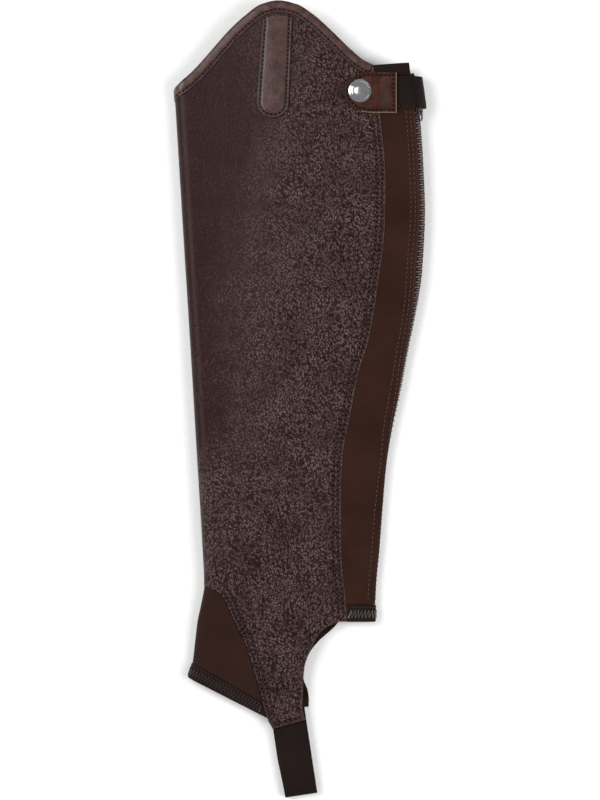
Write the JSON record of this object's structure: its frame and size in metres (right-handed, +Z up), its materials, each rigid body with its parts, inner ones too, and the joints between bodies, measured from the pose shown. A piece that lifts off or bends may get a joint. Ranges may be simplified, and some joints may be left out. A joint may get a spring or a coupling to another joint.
{
  "type": "riding gaiter (half chap)",
  "caption": "Knee-high leather riding gaiter with a stretch panel, zip, snap strap and elastic stirrup, lying flat and fastened.",
  "frame": {"origin": "middle of the footprint, on the surface that the gaiter lies on", "axes": "+Y from the stirrup elastic to the knee, +X from the front fold to the zip, +Z up from the surface"},
  "size_m": [0.1927, 0.6061, 0.0248],
  "materials": {
    "leather": "grained, semi-matt",
    "binding": "smooth, satin",
    "tab_leather": "smooth, satin",
    "stretch_fabric": "brushed stretch, matt",
    "gusset_fabric": "smooth stretch, matt",
    "hem": "elastic tape with zigzag sewing",
    "elastic": "ribbed woven elastic",
    "zip_tape": "woven tape",
    "zip_coil": "nylon coil",
    "slider_metal": "dark enamel",
    "snap_chrome": "polished"
  },
  "bodies": {
    "gaiter": {"outer_leather": "leather", "inner_leather": "leather", "top_patch": "leather", "top_binding_outer": "binding", "top_binding_inner": "binding", "snap_tab": "tab_leather", "stretch_panel": "stretch_fabric", "front_gusset": "gusset_fabric", "top_hem": "hem", "back_hem": "hem", "gusset_hem": "hem", "strap_elastic": "elastic", "stirrup_elastic": "elastic", "zip_tape_outer": "zip_tape", "zip_tape_inner": "zip_tape", "zip_chain": "zip_coil", "zip_slider": "slider_metal", "snap_cap": "snap_chrome", "snap_stud": "snap_chrome"},
    "zip_pull": {"zip_pull": "slider_metal"}
  },
  "joints": [
    {"name": "pull_swing", "type": "hinge", "parent": "gaiter", "child": "zip_pull", "pos_m": [0.09158, 0.22005, 0.01301], "axis": [-0.5012, -0.01, 0.8653], "range_deg": [0, 95]}
  ]
}
